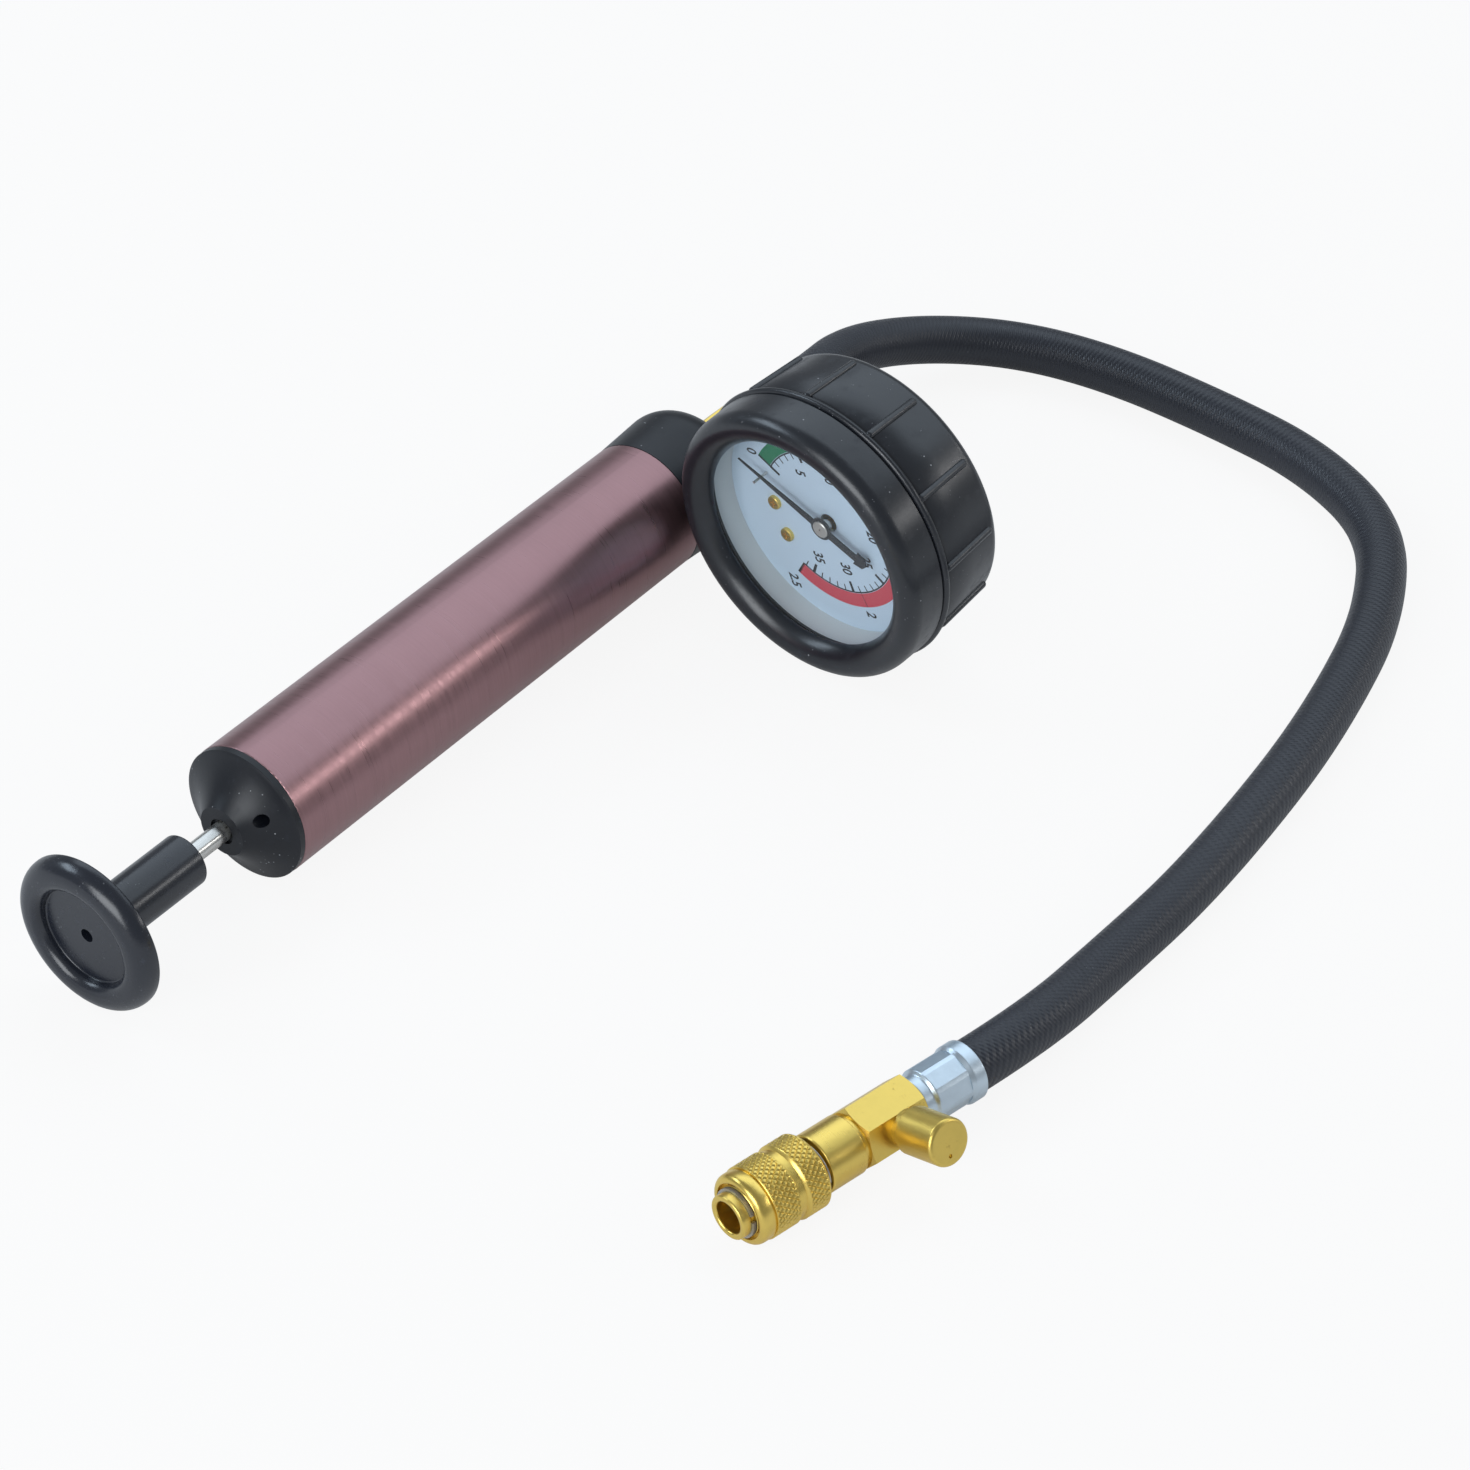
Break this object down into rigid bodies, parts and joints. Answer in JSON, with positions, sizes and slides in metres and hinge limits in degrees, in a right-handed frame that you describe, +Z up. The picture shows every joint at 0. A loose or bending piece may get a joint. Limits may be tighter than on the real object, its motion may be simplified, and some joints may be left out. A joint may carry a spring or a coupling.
{
  "type": "hand pressure pump with gauge",
  "caption": "Hand-operated air pump with a push handle, a dial gauge in a ribbed boot, a hose and a locking quick coupler with a release button.",
  "frame": {"origin": "centre of the underside of the bounds of the pump, handle and gauge, taken without the hose and its coupler", "axes": "+X along the barrel from the handle to the hose outlet, +Z up from the floor the part lies on, gauge on the -Y side"},
  "size_m": [0.3526, 0.2143, 0.0773],
  "materials": {
    "anodised_tube": "satin rose-brown anodising",
    "cap_plastic": "satin",
    "knob_plastic": "satin gloss",
    "rolled_steel": "bright drawn",
    "bright_steel": "turned",
    "spring_steel": "drawn wire",
    "seal_rubber": "matt",
    "bush_plastic": "matt",
    "brass": "machined",
    "fibre_washer": "matt",
    "zinc_plate": "blue-white zinc plating",
    "hose_rubber": "satin, cloth-wrapped",
    "boot_rubber": "semi-gloss",
    "case_steel": "semi-gloss black",
    "clear_lens": "polished",
    "dial_face": "matt white with printed scale",
    "dial_rim": "matt pale grey",
    "pointer_black": "matt black",
    "pointer_boss": "turned"
  },
  "bodies": {
    "pump": {"barrel_tube": "anodised_tube", "bourdon_tube": "brass", "case_plug": "seal_rubber", "check_spring": "spring_steel", "coupler_body": "brass", "coupler_ferrule": "zinc_plate", "dial_screws": "brass", "dial_wall": "dial_rim", "end_cap": "cap_plastic", "end_cap_seal": "seal_rubber", "front_cap": "cap_plastic", "gauge_bezel": "case_steel", "gauge_boot": "boot_rubber", "gauge_case": "case_steel", "gauge_dial": "dial_face", "gauge_lens": "clear_lens", "gauge_link": "brass", "gauge_stem": "brass", "hose": "hose_rubber", "hose_ends": "hose_rubber", "lens_gasket": "seal_rubber", "locking_balls": "bright_steel", "movement_pillars": "brass", "movement_plates": "brass", "outlet_ferrule": "zinc_plate", "outlet_fitting": "brass", "outlet_washer": "fibre_washer", "pointer_stop": "pointer_black", "poppet_spring": "spring_steel", "release_neck": "brass", "release_spring": "spring_steel", "rod_bush": "bush_plastic", "sleeve_spring": "spring_steel", "snap_ring": "bright_steel", "socket_seal": "seal_rubber", "tube_tip": "brass", "valve_block": "brass", "valve_retainer": "bush_plastic"},
    "piston": {"piston_stud": "bright_steel", "piston_washer_front": "bright_steel", "piston_cup": "seal_rubber", "piston_washer_rear": "bright_steel", "piston_nut": "bright_steel"},
    "handle": {"pump_rod": "rolled_steel", "handle_knob": "knob_plastic"},
    "check_ball": {"check_ball": "bright_steel"},
    "pointer": {"gauge_pointer": "pointer_black", "pointer_hub": "pointer_boss", "gauge_pinion": "brass"},
    "sector": {"sector_gear": "brass"},
    "sleeve": {"coupler_sleeve": "brass"},
    "poppet": {"coupler_poppet": "brass", "poppet_seal": "seal_rubber"},
    "release": {"release_button": "brass", "release_pin": "brass", "release_seal": "seal_rubber"}
  },
  "joints": [
    {"name": "pump_stroke", "type": "slide", "parent": "pump", "child": "piston", "axis": [1, 0, 0], "range_m": [-0.095, 0.012]},
    {"name": "handle_spin", "type": "hinge", "parent": "piston", "child": "handle", "pos_m": [-0.074, 0.03689, 0.0203], "axis": [1, 0, 0], "continuous": true},
    {"name": "check_lift", "type": "slide", "parent": "pump", "child": "check_ball", "axis": [1, 0, 0], "range_m": [0, 0.0015], "stiffness_N_per_m": 20, "deforming": ["check_spring"]},
    {"name": "pointer_turn", "type": "hinge", "parent": "pump", "child": "pointer", "pos_m": [0.071, -0.01813, 0.03771], "axis": [0.993, -0.0716, 0.0937], "range_deg": [0, 277], "stiffness_Nm_per_rad": 0.0001},
    {"name": "sector_turn", "type": "hinge", "parent": "pump", "child": "sector", "pos_m": [0.06967, -0.03728, 0.03719], "axis": [0.993, -0.0716, 0.0937], "range_deg": [-39.6, 0]},
    {"name": "sleeve_pull", "type": "slide", "parent": "pump", "child": "sleeve", "axis": [0.9801, -0.1986, 0], "range_m": [0, 0.0035], "stiffness_N_per_m": 400, "deforming": ["sleeve_spring"]},
    {"name": "poppet_push", "type": "slide", "parent": "pump", "child": "poppet", "axis": [0.9801, -0.1986, 0], "range_m": [0, 0.0025], "stiffness_N_per_m": 60, "deforming": ["poppet_spring"]},
    {"name": "release_push", "type": "slide", "parent": "pump", "child": "release", "axis": [0.1866, 0.921, -0.342], "range_m": [0, 0.0022], "stiffness_N_per_m": 150, "deforming": ["release_spring"]}
  ],
  "couplings": [
    {"joint": "sector_turn", "follows": "pointer_turn", "ratio": -0.14286}
  ]
}
